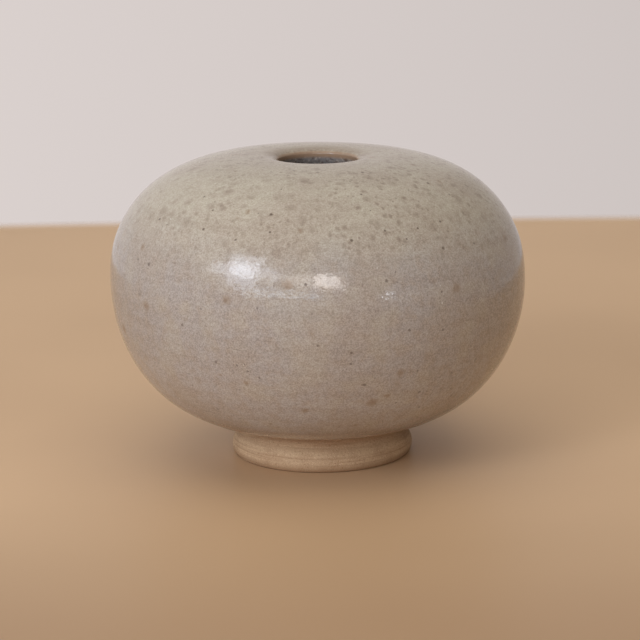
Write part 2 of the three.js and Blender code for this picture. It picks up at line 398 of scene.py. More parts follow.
def wheel_tree():
    """Turns a profile round Z, dents it by hand, and leans it. The profile is drawn in the XZ plane."""
    tree = bpy.data.node_groups.get("Turned on the wheel")
    if tree:
        return tree
    tree = bpy.data.node_groups.new("Turned on the wheel", "GeometryNodeTree")
    tree.interface.new_socket("Profile", in_out="INPUT", socket_type="NodeSocketObject")
    for name, plain in WHEEL_NUMBERS.items():
        socket = tree.interface.new_socket(name, in_out="INPUT", socket_type=NUMBER_SOCKETS[type(plain)])
        socket.default_value = plain
    tree.interface.new_socket("Finish", in_out="INPUT", socket_type="NodeSocketMaterial")
    tree.interface.new_socket("Geometry", in_out="OUTPUT", socket_type="NodeSocketGeometry")
    bench = Bench(tree)
    given = bench.node("NodeGroupInput")
    want = {output.name: Wire(bench, output) for output in given.outputs}

    # One grid vertex for each profile point at each step round the wheel
    profile = bench.out(
        "GeometryNodeObjectInfo", "Geometry", {"transform_space": "ORIGINAL"}, {"Object": want["Profile"]}
    )
    count = bench.out(
        "GeometryNodeAttributeDomainSize", "Point Count", {"component": "CURVE"}, {"Geometry": profile}
    )
    rows = want["Segments"] + 1
    grid = bench.out("GeometryNodeMeshGrid", "Mesh", None, {"Vertices X": count, "Vertices Y": rows})
    index = bench.out("GeometryNodeInputIndex", "Index")
    column = bench.maths("FLOOR", (index + 0.5) / rows)
    turn = (index - column * rows) / want["Segments"] * math.tau

    def at_column(kind, value):
        """A value of the profile's points, taken at this column's point."""
        sockets = {"Geometry": profile, "Value": value, "Index": column}
        settings = {"data_type": kind, "domain": "POINT"}
        return bench.out("GeometryNodeSampleIndex", "Value", settings, sockets)

    # Place of that profile point, and how far along the profile it lies
    place = bench.out("GeometryNodeInputPosition", "Position")
    radius, _, height = bench.split(at_column("FLOAT_VECTOR", place))
    along = at_column("FLOAT", bench.out("GeometryNodeSplineParameter", "Length"))
    turned = bench.joined(radius * bench.maths("COSINE", turn), radius * bench.maths("SINE", turn), height)
    stored = {"data_type": "FLOAT", "domain": "POINT"}
    shape = bench.worked("StoreNamedAttribute", grid, {"Name": "along", "Value": along}, stored)
    shape = bench.worked("SetPosition", shape, {"Position": turned})
    shape = bench.worked("MergeByDistance", shape, {"Distance": SAME_POINT})

    # Throwing rings, which wander a little round the pot, and hollows pushed by the hand
    x, y, z = bench.split(place)
    outward = bench.vector("NORMALIZE", bench.joined(x, y, 0.0))
    outward_x, outward_y, _ = bench.split(outward)
    drawn = bench.out(
        "GeometryNodeInputNamedAttribute", "Attribute", {"data_type": "FLOAT"}, {"Name": "along"}
    )
    ring_spot = bench.joined(drawn / want["Ring spacing"], outward_x * RING_WANDER, outward_y * RING_WANDER)
    rings = bench.swing(ring_spot, size=1, detail=1)
    calm = from_axis(x, y).ramp(want["Calm radius"], want["Calm radius"] * CALM_SPREAD + SAME_POINT)
    dents = bench.swing(bench.scaled(place, 1 / want["Dent size"]), size=1, detail=0)
    push = rings * want["Ring depth"] * calm + dents * want["Dent depth"]
    normal = bench.out("GeometryNodeInputNormal", "Normal")
    shape = bench.worked("SetPosition", shape, {"Offset": bench.scaled(normal, push)})

    # The shoulder sways to the left, lower down on the left side than on the right
    off = z - SWAY_TILT * x - want["Sway height"]
    sway = ((off * off) ** 0.5).ramp(want["Sway reach"], 0.0) * want["Sway"]

    # The glaze's lower edge wanders and keeps to the foot
    edge = 1 - z.ramp(want["Edge height"], want["Edge height"] + EDGE_FADE)
    wander = bench.swing(outward, EDGE_WANDER, detail=1) * want["Edge waver"] * edge
    moved_x = x + outward_x * wander + want["Edge shift"] * edge - sway
    moved_y = y + outward_y * wander
    moved_z = z + (x - want["Edge radius"]) * want["Edge slant"] * edge
    moved = bench.joined(moved_x, moved_y, moved_z.largest(want["Floor"]))

    # The globe leans over a foot that stands upright
    pivot = bench.joined(0.0, 0.0, want["Pivot height"])
    sockets = {"Vector": moved, "Center": pivot, "Angle": want["Lean"]}
    leaning = bench.out("ShaderNodeVectorRotate", "Vector", {"rotation_type": "Y_AXIS"}, sockets)
    leaning = bench.vector("ADD", leaning, bench.joined(want["Leaning shift"], 0.0, 0.0))
    upright = bench.vector("ADD", moved, bench.joined(want["Upright shift"], 0.0, 0.0))
    share = z.ramp(want["Lean starts"], want["Lean ends"])
    shape = bench.worked("SetPosition", shape, {"Position": bench.between(share, upright, leaning)})

    # Smooth faces with sharp corners kept
    shape = bench.worked("SetShadeSmooth", shape, {"Shade Smooth": True}, {"domain": "FACE"})
    sharp = bench.out("GeometryNodeInputMeshEdgeAngle", "Unsigned Angle").above(CREASE)
    corners = {"Selection": sharp, "Shade Smooth": False}
    shape = bench.worked("SetShadeSmooth", shape, corners, {"domain": "EDGE"})
    shape = bench.worked("RealizeInstances", shape)
    shape = bench.worked("SetMaterial", shape, {"Material": want["Finish"]})
    bench.node("NodeGroupOutput", None, {"Geometry": shape})
    return tree


def new_object(name, data):
    """An object in the scene that shows some data."""
    made = bpy.data.objects.new(name, data)
    bpy.context.scene.collection.objects.link(made)
    return made


def turned_piece(name, profile, finish, **wheel):
    """A piece turned from a profile of (radius, height) points, as a plain mesh."""
    line = bpy.data.curves.new(name + "_profile", "CURVE")
    line.dimensions = "3D"
    spline = line.splines.new("POLY")
    spline.points.add(len(profile) - 1)
    for point, (radius, height) in zip(spline.points, profile):
        point.co = (radius, 0.0, height, 1.0)
    drawn = new_object(name + "_profile", line)

    blank = bpy.data.objects.new(name + "_blank", bpy.data.meshes.new(name + "_blank"))
    wheel_on = blank.modifiers.new("Wheel", "NODES")
    wheel_on.node_group = wheel_tree()
    settings = {"Profile": drawn, "Finish": finish}
    settings.update({key.replace("_", " ").capitalize(): value for key, value in wheel.items()})
    for socket in wheel_on.node_group.interface.items_tree:
        if socket.item_type == "SOCKET" and socket.in_out == "INPUT" and socket.name in settings:
            wheel_on[socket.identifier] = settings.pop(socket.name)
    if settings:
        raise RuntimeError(f"the wheel has no input named {sorted(settings)}")
    bpy.context.scene.collection.objects.link(blank)
    made = blank.evaluated_get(bpy.context.evaluated_depsgraph_get())
    mesh = bpy.data.meshes.new_from_object(made)
    mesh.name = name
    bpy.data.objects.remove(blank)
    bpy.data.objects.remove(drawn)
    if not mesh.polygons:
        raise RuntimeError(f"{name} came off the wheel empty")
    face_outwards(mesh)
    return new_object(name, mesh)


def face_outwards(mesh):
    """Turns a closed mesh the right way out."""
    shell = bmesh.new()
    shell.from_mesh(mesh)
    inside_out = shell.calc_volume(signed=True) < 0
    open_edges = sum(1 for edge in shell.edges if len(edge.link_faces) != 2)
    shell.free()
    if open_edges:
        raise RuntimeError(f"{mesh.name} has {open_edges} open edges")
    if inside_out:
        mesh.flip_normals()


def placed(piece, node):
    """Sets a piece on the frame in the place of its CAD node."""
    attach(piece, "root")
    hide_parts(node)


def curve(start, leave, arrive, end, steps):
    """Points along a cubic curve between two ends and their two handles."""
    points = []
    for step in range(steps + 1):
        t = step / steps
        s = 1 - t
        points.append(start * s**3 + leave * (3 * s * s * t) + arrive * (3 * s * t * t) + end * t**3)
    return points


def quarter(upright, level, upright_fullness, level_fullness, steps):
    """A curve that leaves one end straight up or down and reaches the other end level."""
    corner = Vector((upright.x, level.y))
    return curve(
        upright, upright.lerp(corner, upright_fullness), level.lerp(corner, level_fullness), level, steps
    )


def arc(centre, radii, start, end, steps):
    """Points on an ellipse round a centre, from one angle to another."""
    across, up = radii
    turns = [start + (end - start) * step / steps for step in range(steps + 1)]
    return [Vector((centre.x + across * math.cos(turn), centre.y + up * math.sin(turn))) for turn in turns]


def chained(*stretches):
    """Stretches of a profile end to end, with each shared end kept once."""
    points = []
    for stretch in stretches:
        for point in stretch:
            if not points or (point - points[-1]).length > SAME_POINT:
                points.append(point)
    return points


class Globe:
    """Faces of the globe as profiles, in from the outside by a depth, or out from the inside by one."""

    def __init__(self, shape, lip_steps, wall_steps):
        spare = shape.ring_depth + shape.dent_depth
        self.shape = shape
        self.lip_steps = lip_steps
        self.wall_steps = wall_steps
        self.belly_radius = shape.belly_radius - spare
        self.crest_radius = shape.mouth_radius + shape.lip_width
        self.height = shape.height - spare - self.crest_radius * math.sin(shape.lean)
        self.edge_height = shape.glaze_edge_height + spare
        self.mouth_height = self.height - shape.lip_drop
        self.inner_radius = shape.clay_inner_radius - spare - shape.liner_coat
        self.floor = shape.clay_floor + shape.liner_coat

    def upper(self, mouth_radius, crest_height, belly_radius):
        """From a mouth's edge over a crest to a belly."""
        edge = Vector((mouth_radius, self.mouth_height))
        crest = Vector((self.crest_radius, crest_height))
        belly = Vector((belly_radius, self.shape.belly_height))
        lip = quarter(edge, crest, LIP_FULLNESS, LIP_FULLNESS, self.lip_steps)
        shoulder = quarter(belly, crest, SHOULDER_FULLNESS, CREST_FULLNESS, self.wall_steps)
        return chained(lip, shoulder[::-1])

    def upper_outside(self, depth):
        """From the mouth's edge over the lip to the belly."""
        return self.upper(self.shape.mouth_radius + depth, self.height - depth, self.belly_radius - depth)

    def upper_inside(self, depth):
        """From the mouth's edge under the lip to the belly."""
        ceiling = self.height - self.shape.lip_thickness
        return self.upper(self.shape.mouth_radius + depth, ceiling + depth, self.inner_radius + depth)

    def lower_outside(self, depth):
        """From the belly to the edge of the glaze under the globe."""
        belly = Vector((self.belly_radius - depth, self.shape.belly_height))
        edge = Vector((self.shape.glaze_edge_radius, self.edge_height + depth))
        reach = UNDERSIDE_FULLNESS * (belly.x - edge.x)
        leave = Vector((belly.x, belly.y - BELLY_FULLNESS * (belly.y - edge.y)))
        arrive = edge + reach * Vector((math.cos(UNDERSIDE_SLOPE), math.sin(UNDERSIDE_SLOPE)))
        return curve(belly, leave, arrive, edge, self.wall_steps)

    def beaded(self, points):
        """Points of the lower outside with the coat swollen to a bead at its edge."""
        shape = self.shape
        swollen = []
        for point in points:
            near = max(0.0, 1 - (point.x - shape.glaze_edge_radius) / shape.bead_width)
            drop = shape.bead_depth * near * near * (3 - 2 * near)
            swollen.append(point - Vector((0, drop)))
        return swollen

    def lower_inside(self, depth):
        """From the belly to the middle of the floor."""
        belly = Vector((self.inner_radius + depth, self.shape.belly_height))
        floor = Vector((0.0, self.floor - depth))
        return quarter(belly, floor, BOWL_FULLNESS, FLOOR_FULLNESS, self.wall_steps)

    def seam_step(self, width, rise):
        """A square step round the seam, from the outer rim to the inner one."""
        outer = self.belly_radius - self.shape.outer_coat
        inner = self.inner_radius + self.shape.liner_coat
        middle = (outer + inner) / 2
        low = self.shape.belly_height
        return [
            Vector((middle + width / 2, low)),
            Vector((middle + width / 2, low + rise)),
            Vector((middle - width / 2, low + rise)),
            Vector((middle - width / 2, low)),
        ]


def recess_radius(shape):
    """Radius of the hollow inside the foot."""
    return shape.foot_radius - 2 * shape.edge_round - shape.tread_width


def edge_sideways(shape):
    """How far the glaze's lower edge shifts on the globe to keep to the foot."""
    return shape.foot_shift + math.sin(shape.lean) * (shape.belly_height - shape.glaze_edge_height)


def globe_lean(shape):
    """How the globe leans and sways, with its hand-pushed hollows."""
    return {
        "sway": shape.sway,
        "sway_height": shape.belly_height + shape.sway_rise,
        "sway_reach": shape.sway_reach,
        "lean": shape.lean,
        "pivot_height": shape.belly_height,
        "dent_depth": shape.dent_depth,
        "dent_size": shape.dent_size,
        "ring_spacing": shape.ring_spacing,
    }


def new_finish(name):
    """An empty material and the bench that its nodes are added on."""
    finish = bpy.data.materials.new(name)
    finish.use_nodes = True
    finish.node_tree.nodes.clear()
    return finish, Bench(finish.node_tree)


def millimetres(bench, shape=None):
    """Place on a piece in millimetres. With a shape given, the globe's lean is undone."""
    place = bench.out("ShaderNodeTexCoord", "Object")
    scale = 1 / MM
    sockets = {"Vector": place, "Scale": (scale, scale, scale)}
    if shape:
        pivot = Vector((0, 0, shape.belly_height))
        back = Matrix.Rotation(-shape.lean, 3, "Y")
        sockets["Rotation"] = (0, -shape.lean, 0)
        sockets["Location"] = (pivot - back @ pivot) * scale
    return bench.out("ShaderNodeMapping", "Vector", {"vector_type": "POINT"}, sockets)


# Layers of noise in the finishes: size in millimetres, detail and roughness
CLOUDS = (26, 2)
MOTTLE = (4.5, 2, 0.6)
PATCHES = (13, 1)
FLECKS = (3.4, 2, 0.6)
THROWING_RINGS = (3.4, 2, 0.6)
COARSE_GRAIN = (1.1, 2, 0.6)
FINE_GRAIN = (0.55, 1)
DRIFTS = (20, 1)
PEEL = (1.2, 1)
DIMPLES = (2.6, 1)
SWELL = (6, 1)
LINER_CLOUDS = (14, 2)
LINER_GRAIN = (1.2, 2, 0.6)
LINER_FLECKS = (0.9, 1)
LINER_PEEL = (1.1, 1)
LINER_SWELL = (7, 1)
CLAY_CLOUDS = (9, 2)
SAND = (0.7, 2, 0.7)
GRIT = (0.35, 1)
TURNING_LINES = (0.9, 2, 0.6)
TURNING_BANDS = (2.6, 1)
BASE_RINGS = (1.3, 2, 0.6)

# How much the rings and lines change round the pot, against their change up the wall
THROWING_DRIFT = 0.05
TURNING_DRIFT = 0.02
BAND_DRIFT = 0.01
BASE_DRIFT = 0.03

# Specks: cell, smallest and largest radius in millimetres, share of cells that have one, and softness
SMUDGE = (5.0, 0.7, 2.1, 0.7, 0.9)
IRON_SPOT = (2.6, 0.4, 1.1, 0.8, 0.75)
SMALL_SPECK = (1.2, 0.1, 0.4, 0.5, 0.5)
IRON_SPECK = (4.4, 0.12, 0.72, 0.85, 0.3)
RUST_SPOT = (11, 0.8, 2.2, 0.5, 0.6)
PINHOLE = (6.0, 0.15, 0.4, 0.8, 0.3)
WHITE_SPECK = (8.0, 0.15, 0.4, 0.4, 0.4)
LINER_SPECK = (6.0, 0.25, 0.85, 0.6, 0.35)
CLAY_SPECK = (5.0, 0.15, 0.5, 0.7, 0.35)

# Uneven edges of specks: size of the noise that pushes them, and how far it does, in millimetres
SMUDGE_EDGE = (3.0, 3.0)
SPOT_EDGE = (1.3, 1.3)
SPECK_EDGE = (0.6, 0.5)
RUST_EDGE = (1.4, 2.2)

# Iron spots are drawn out downwards, and lie thicker with each millimetre to the right
SPOT_RUN = (1, 1, 0.75)
SPOT_DRIFT = 0.002

# Painted shade darkens the foot towards its tread between these heights, in millimetres
SHADED_TREAD = (4.8, 0.6)

# What the shader is told once for glossy glaze, and for dry clay
GLASSY = {"IOR": 1.5}
DRY = {"Specular IOR Level": 0.25}


def specks(bench, place, cell, smallest, largest, share, softness):
    """Round specks, one in each cell: a mask of the share of cells that have one."""
    cells = bench.node(
        "ShaderNodeTexVoronoi",
        {"voronoi_dimensions": "3D", "feature": "F1"},
        {"Vector": place, "Scale": 1 / cell},
    )
    distance = Wire(bench, cells.outputs["Distance"]) * cell
    size_draw, share_draw, _ = bench.split(Wire(bench, cells.outputs["Color"]))
    radius = smallest + (largest - smallest) * size_draw**2
    return distance.ramp(radius * (1 + softness), radius * (1 - softness)) * share_draw.below(share)


def ruffled(bench, place, size, amount):
    """A place pushed about by noise, so that round specks get uneven edges."""
    push = bench.noise(place, size, 1.0, output="Color")
    push = bench.vector("SUBTRACT", push, (0.5, 0.5, 0.5))
    return bench.vector("ADD", place, bench.scaled(push, amount))


def close_finish(bench, base, roughness, height, constants):
    """Principled shader with a bump whose height is in millimetres."""
    bump = {"Height": height, "Distance": MM, "Strength": 1.0}
    normal = bench.out("ShaderNodeBump", "Normal", None, bump)
    sockets = {"Base Color": base, "Roughness": roughness, "Normal": normal, **constants}
    shader = bench.out("ShaderNodeBsdfPrincipled", "BSDF", None, sockets)
    bench.node("ShaderNodeOutputMaterial", None, {"Surface": shader})


def outer_glaze_finish(shape, colours):
    """Speckled oatmeal glaze, satin to glossy, that breaks brown on the mouth's edge."""
    finish, bench = new_finish("speckled oatmeal glaze")
    place = millimetres(bench, shape)
    x, y, z = bench.split(place)
    radius = from_axis(x, y)
    belly = shape.belly_height / MM
    crest = shape.height / MM
    mouth = shape.mouth_radius / MM
    edge = shape.glaze_edge_height / MM
    edge_radius = shape.glaze_edge_radius / MM

    upper = z.ramp(belly, crest)
    clouds = bench.noise(place, *CLOUDS)
    shoulder = (z + 16 * (clouds - 0.5)).ramp(belly + 12, crest - 12)

    # Clouds, patches and flecks, with throwing rings that show faintly through the coat
    mottle = bench.noise(place, *MOTTLE)
    patches = bench.noise(place, *PATCHES)
    flecks = bench.noise(place, *FLECKS)
    rings = bench.noise(bench.joined(x * THROWING_DRIFT, y * THROWING_DRIFT, z), *THROWING_RINGS)
    tone = bench.layered(
        colours.glaze_belly,
        (z.ramp(belly - 10, belly - 40), colours.glaze_low),
        (shoulder, colours.glaze_shoulder),
        (clouds.ramp(0.4, 0.7) * 0.6, colours.glaze_cloud),
        (mottle.ramp(0.4, 0.7) * (0.6 - 0.3 * shoulder), colours.glaze_cloud),
        (patches.ramp(0.5, 0.68) * 0.3, colours.glaze_shoulder),
        (flecks.ramp(0.52, 0.74) * 0.2, colours.glaze_fleck),
        (rings.ramp(0.48, 0.68) * 0.16, colours.iron_blotch),
        (rings.ramp(0.5, 0.34) * 0.1, colours.glaze_fleck),
    )

    # Grain that shows at arm's length, and finer grain within it
    coarse = bench.noise(place, *COARSE_GRAIN)
    fine = bench.noise(place, *FINE_GRAIN)
    tone = bench.layered(
        tone,
        (0.17, bench.mix(coarse.ramp(0.3, 0.7), colours.glaze_grain, colours.glaze_fleck)),
        (0.24 - 0.06 * shoulder, bench.mix(fine.ramp(0.3, 0.7), colours.glaze_grain, colours.glaze_fleck)),
    )

    # Iron: soft spots in drifts on the shoulder, and small specks all over
    drifts = (bench.noise(place, *DRIFTS) + SPOT_DRIFT * x).ramp(0.3, 0.62) * (0.3 + 0.7 * shoulder)
    smudges = specks(bench, ruffled(bench, place, *SMUDGE_EDGE), *SMUDGE)
    runny = bench.vector("MULTIPLY", ruffled(bench, place, *SPOT_EDGE), SPOT_RUN)
    spots = specks(bench, runny, *IRON_SPOT)
    uneven = ruffled(bench, place, *SPECK_EDGE)
    small = specks(bench, uneven, *SMALL_SPECK)
    iron = specks(bench, uneven, *IRON_SPECK)
    rust = specks(bench, ruffled(bench, place, *RUST_EDGE), *RUST_SPOT)
    pits = specks(bench, place, *PINHOLE)
    white = specks(bench, place, *WHITE_SPECK)
    tone = bench.layered(
        tone,
        (smudges * (0.1 + 0.33 * shoulder), colours.iron_blotch),
        (spots * drifts * 0.62, colours.iron_blotch),
        (small * 0.55, colours.iron_blotch),
        (iron * (0.64 + 0.22 * shoulder), colours.iron_speck),
        (rust * 0.65, colours.rust),
        (pits * 0.5, colours.iron_speck),
        (white * 0.6, colours.white_speck),
    )

    # The coat is thinner round the mouth and low down, and brown on the mouth's edge; its lower rim is
    # pale, partly a painted highlight, and painted shade darkens the lip's inward slope
    around = radius.ramp(mouth + 10, mouth + 4) * upper
    # Pale lower rim of the coat: partly a pale bare edge, partly a painted highlight along the bead
    rim_radius = from_axis(x - edge_sideways(shape) / MM, y)
    pale_rim_and_highlight = rim_radius.ramp(edge_radius + 1.9, edge_radius + 1) * z.ramp(edge + 4, edge + 2)
    # Painted shade on the lip's inward slope, broken up by the coarse grain
    slope_shade = radius.ramp(mouth + 6.5, mouth + 1.5) * upper
    thin = radius.ramp(mouth + 1.1, mouth + 0.1) * z.ramp(crest - 9, crest - 2)
    tone = bench.layered(
        tone,
        (around * 0.3, colours.glaze_cloud),
        (z.ramp(edge + 9, edge + 1) * 0.55, colours.glaze_break),
        (pale_rim_and_highlight * 0.6, colours.clay_pale),
        (slope_shade * (0.34 + 2.4 * (coarse - 0.5)), colours.iron_blotch),
        (thin * (0.8 + 0.8 * (mottle - 0.5)), colours.glaze_break),
    )

    matt = fine.ramp(0.45, 0.62) * 0.1 + small * 0.2 + iron * 0.3 + pits * 0.3
    roughness = 0.08 + 0.08 * (mottle - 0.5) + matt
    waves = 0.04 * bench.noise(place, *PEEL) + 0.05 * bench.noise(place, *DIMPLES)
    waves = waves + 0.08 * bench.noise(place, *SWELL) + 0.05 * rings
    close_finish(bench, tone, roughness, waves - 0.06 * pits + 0.012 * iron, GLASSY)
    return finish


def liner_finish(shape, colours):
    """Plain glossy glaze inside, a little speckled."""
    finish, bench = new_finish("liner glaze")
    place = millimetres(bench, shape)
    x, y, z = bench.split(place)
    crest = shape.height / MM
    mouth = shape.mouth_radius / MM
    clouds = bench.noise(place, *LINER_CLOUDS)
    grain = bench.noise(place, *LINER_GRAIN)
    flecks = bench.noise(place, *LINER_FLECKS)
    iron = specks(bench, place, *LINER_SPECK)
    thin = from_axis(x, y).ramp(mouth + 1.7, mouth + 0.4) * z.ramp(crest - 5, crest - 3.5)
    tone = bench.layered(
        colours.liner,
        (clouds.ramp(0.4, 0.7) * 0.5, colours.glaze_cloud),
        (grain.ramp(0.5, 0.68) * 0.55, colours.iron_speck),
        (flecks.ramp(0.54, 0.72) * 0.5, colours.glaze_fleck),
        (iron * 0.7, colours.iron_speck),
        (thin * 0.9, colours.glaze_break),
    )
    roughness = 0.24 + 0.15 * (grain - 0.5)
    height = 0.02 * bench.noise(place, *LINER_PEEL) + 0.05 * bench.noise(place, *LINER_SWELL)
    close_finish(bench, tone, roughness, height, GLASSY)
    return finish


def sandy_clay(bench, place, colours):
    """Colour, roughness and height of bare sandy clay."""
    clouds = bench.noise(place, *CLAY_CLOUDS)
    sand = bench.noise(place, *SAND)
    grit = bench.noise(place, *GRIT)
    iron = specks(bench, place, *CLAY_SPECK)
    tone = bench.layered(
        colours.clay,
        (clouds.ramp(0.4, 0.75) * 0.4, colours.clay_dark),
        (sand.ramp(0.5, 0.68) * 0.75, colours.clay_dark),
        (grit.ramp(0.52, 0.68) * 0.8, colours.clay_pale),
        (iron * 0.7, colours.iron_speck),
    )
    return tone, 0.82 + 0.1 * (sand - 0.5), 0.05 * sand + 0.03 * grit


def foot_finish(shape, colours):
    """Bare turned clay, sandy, with lines and bands from the turning tool."""
    finish, bench = new_finish("bare turned clay")
    place = millimetres(bench)
    x, y, z = bench.split(place)
    tone, roughness, height = sandy_clay(bench, place, colours)
    lines = bench.noise(bench.joined(x * TURNING_DRIFT, y * TURNING_DRIFT, z), *TURNING_LINES)
    bands = bench.noise(bench.joined(x * BAND_DRIFT, y * BAND_DRIFT, z), *TURNING_BANDS)
    top = shape.foot_height / MM
    tone = bench.layered(
        tone,
        (lines.ramp(0.5, 0.72) * 0.5, colours.clay_dark),
        (bands.ramp(0.46, 0.66) * 0.22, colours.clay_dark),
        # Painted shade low on the foot, towards its tread
        (z.ramp(*SHADED_TREAD) * 0.65, colours.clay_dark),
        # Orange flash under the globe, partly painted shade where the globe overhangs the foot
        (z.ramp(top - 8, top - 1) * 0.42, colours.clay_flash),
    )
    close_finish(bench, tone, roughness, height + 0.05 * lines, DRY)
    return finish


def body_finish(shape, colours):
    """Bare clay of the bowls, flushed orange beside the glaze and turned in rings under the base."""
    finish, bench = new_finish("bare stoneware body")
    place = millimetres(bench, shape)
    x, y, _ = bench.split(place)
    radius = from_axis(x, y)
    tone, roughness, height = sandy_clay(bench, place, colours)
    flush = radius.ramp(shape.foot_radius / MM - 3, shape.glaze_edge_radius / MM)
    rings = bench.noise(bench.joined(radius, x * BASE_DRIFT, y * BASE_DRIFT), *BASE_RINGS)
    tone = bench.layered(
        tone,
        (flush * 0.6, colours.clay_flash),
        (rings.ramp(0.5, 0.72) * 0.4, colours.clay_dark),
    )
    close_finish(bench, tone, roughness, height + 0.08 * rings, DRY)
    return finish


# Cloudiness of the table, and where painted shade darkens its front, in metres
TABLE_CLOUDS = (0.2, 2)
FRONT_SHADE_STARTS = -0.06
FRONT_SHADE_ENDS = -0.26


def table_finish(stage, colours):
    """Plain satin table top with rounded corners and soft edges, and painted shade towards its front."""
    finish, bench = new_finish("plain table")
    place = bench.out("ShaderNodeTexCoord", "Object")
    x, y, _ = bench.split(place)
    clouds = bench.noise(place, *TABLE_CLOUDS)
    tone = bench.layered(
        colours.table,
        (clouds.ramp(0.35, 0.7) * 0.1, colours.clay_dark),
        # Painted shade, darkening the table towards its front
        (y.ramp(FRONT_SHADE_STARTS, FRONT_SHADE_ENDS) * 0.55, colours.clay_dark),
    )
    sockets = {"Base Color": tone, "Roughness": 0.45, **DRY}
    satin = bench.out("ShaderNodeBsdfPrincipled", "BSDF", None, sockets)
    reach = ((x * x) ** 2 + (y * y) ** 2) ** 0.25
    gone = reach.ramp(stage.table_reach - stage.table_fade, stage.table_reach)
    clear = bench.out("ShaderNodeBsdfTransparent", "BSDF")
    surface = bench.out("ShaderNodeMixShader", "Shader", None, {0: gone, 1: satin, 2: clear})
    bench.node("ShaderNodeOutputMaterial", None, {"Surface": surface})
    return finish


# The spigot's end stays upright, and the lean is whole just under the globe
SPIGOT_UPRIGHT = 1 * MM
LEAN_MARGIN = 0.2 * MM

# Throwing rings fade out this near the mouth's edge
LIP_CALM = 1 * MM


class VaseOperator:
    """What the operators of the pieces share."""

    bl_options = {"REGISTER", "UNDO"}

    @staticmethod
    def choices(context):
        """Sizes and colours that the user has set."""
        return context.scene.globe_vase_shape, context.scene.globe_vase_colours


class GLOBE_VASE_OT_lower_bowl(VaseOperator, bpy.types.Operator):
    """Throw the lower bowl, with its tongue, thick floor and spigot"""

    bl_idname = "globe_vase.lower_bowl"
    bl_label = "Lower bowl"

    def execute(self, context):
        shape, colours = self.choices(context)
        globe = Globe(shape, HIDDEN_LIP_STEPS, HIDDEN_WALL_STEPS)
        spigot = recess_radius(shape) - shape.spigot_clearance
        under = globe.edge_height + shape.outer_coat
        base = shape.recess_height
        profile = chained(
            globe.lower_inside(shape.liner_coat)[::-1],
            globe.seam_step(shape.tongue_width, shape.tongue_height)[::-1],
            globe.lower_outside(shape.outer_coat),
            [Vector((spigot, under)), Vector((spigot, base)), Vector((0, base))],
        )
        piece = turned_piece(
            "vase_lower_bowl",
            profile,
            body_finish(shape, colours),
            **globe_lean(shape),
            lean_starts=base + SPIGOT_UPRIGHT,
            lean_ends=under - LEAN_MARGIN,
            upright_shift=shape.foot_shift,
        )
        placed(piece, "lower_bowl")
        return {"FINISHED"}


class GLOBE_VASE_OT_upper_bowl(VaseOperator, bpy.types.Operator):
    """Throw the upper bowl, closed in to the lip, with a groove for the tongue"""

    bl_idname = "globe_vase.upper_bowl"
    bl_label = "Upper bowl"

    def execute(self, context):
        shape, colours = self.choices(context)
        globe = Globe(shape, HIDDEN_LIP_STEPS, HIDDEN_WALL_STEPS)
        room = shape.seam_clearance
        outside = globe.upper_outside(shape.outer_coat)
        profile = chained(
            outside,
            globe.seam_step(shape.tongue_width + 2 * room, shape.tongue_height + room),
            globe.upper_inside(shape.liner_coat)[::-1],
            outside[:1],
        )
        piece = turned_piece("vase_upper_bowl", profile, body_finish(shape, colours), **globe_lean(shape))
        placed(piece, "upper_bowl")
        return {"FINISHED"}


class GLOBE_VASE_OT_foot_ring(VaseOperator, bpy.types.Operator):
    """Turn the bare foot ring, with a flat tread and a cove under the globe"""

    bl_idname = "globe_vase.foot_ring"
    bl_label = "Foot ring"

    def execute(self, context):
        shape, colours = self.choices(context)
        spare = shape.turning_depth
        foot_radius = shape.foot_radius - spare
        tread_outer = shape.foot_radius - shape.edge_round
        tread_inner = tread_outer - shape.tread_width
        recess = recess_radius(shape)
        widest = Vector((foot_radius, shape.foot_widest))
        neck = Vector((shape.foot_radius - shape.neck_inset, shape.foot_height - shape.cove_radius))
        rise = Vector((0, FOOT_FULLNESS * (neck.y - widest.y)))
        cove_centre = Vector((neck.x + shape.cove_radius, neck.y))
        cove_radii = (shape.cove_radius, shape.cove_radius)
        cove = arc(cove_centre, cove_radii, INWARDS, INWARDS - shape.cove_sweep, FOOT_ROUND_STEPS)
        outer_centre = Vector((tread_outer, shape.foot_widest))
        outer_radii = (foot_radius - tread_outer, shape.foot_widest)
        outer_edge = arc(outer_centre, outer_radii, -UPWARDS, 0, FOOT_ROUND_STEPS)
        inner_centre = Vector((tread_inner, shape.inner_edge_height))
        inner_radii = (shape.edge_round, shape.inner_edge_height)
        inner_edge = arc(inner_centre, inner_radii, INWARDS, DOWNWARDS, FOOT_ROUND_STEPS)
        top = [Vector((cove[-1].x, shape.foot_height)), Vector((recess, shape.foot_height))]
        profile = chained(
            inner_edge,
            outer_edge,
            curve(widest, widest + rise, neck - rise, neck, FOOT_FACE_STEPS),
            cove,
            top,
            inner_edge[:1],
        )
        piece = turned_piece(
            "vase_foot_ring",
            profile,
            foot_finish(shape, colours),
            segments=SHOWN_SEGMENTS,
            ring_depth=shape.turning_depth,
            ring_spacing=shape.turning_spacing,
            floor=0.0,
            lean=shape.lean,
            pivot_height=shape.foot_height,
            lean_starts=shape.foot_widest,
            lean_ends=shape.foot_height,
            upright_shift=shape.foot_shift,
            leaning_shift=shape.foot_shift,
        )
        placed(piece, "foot_ring")
        return {"FINISHED"}


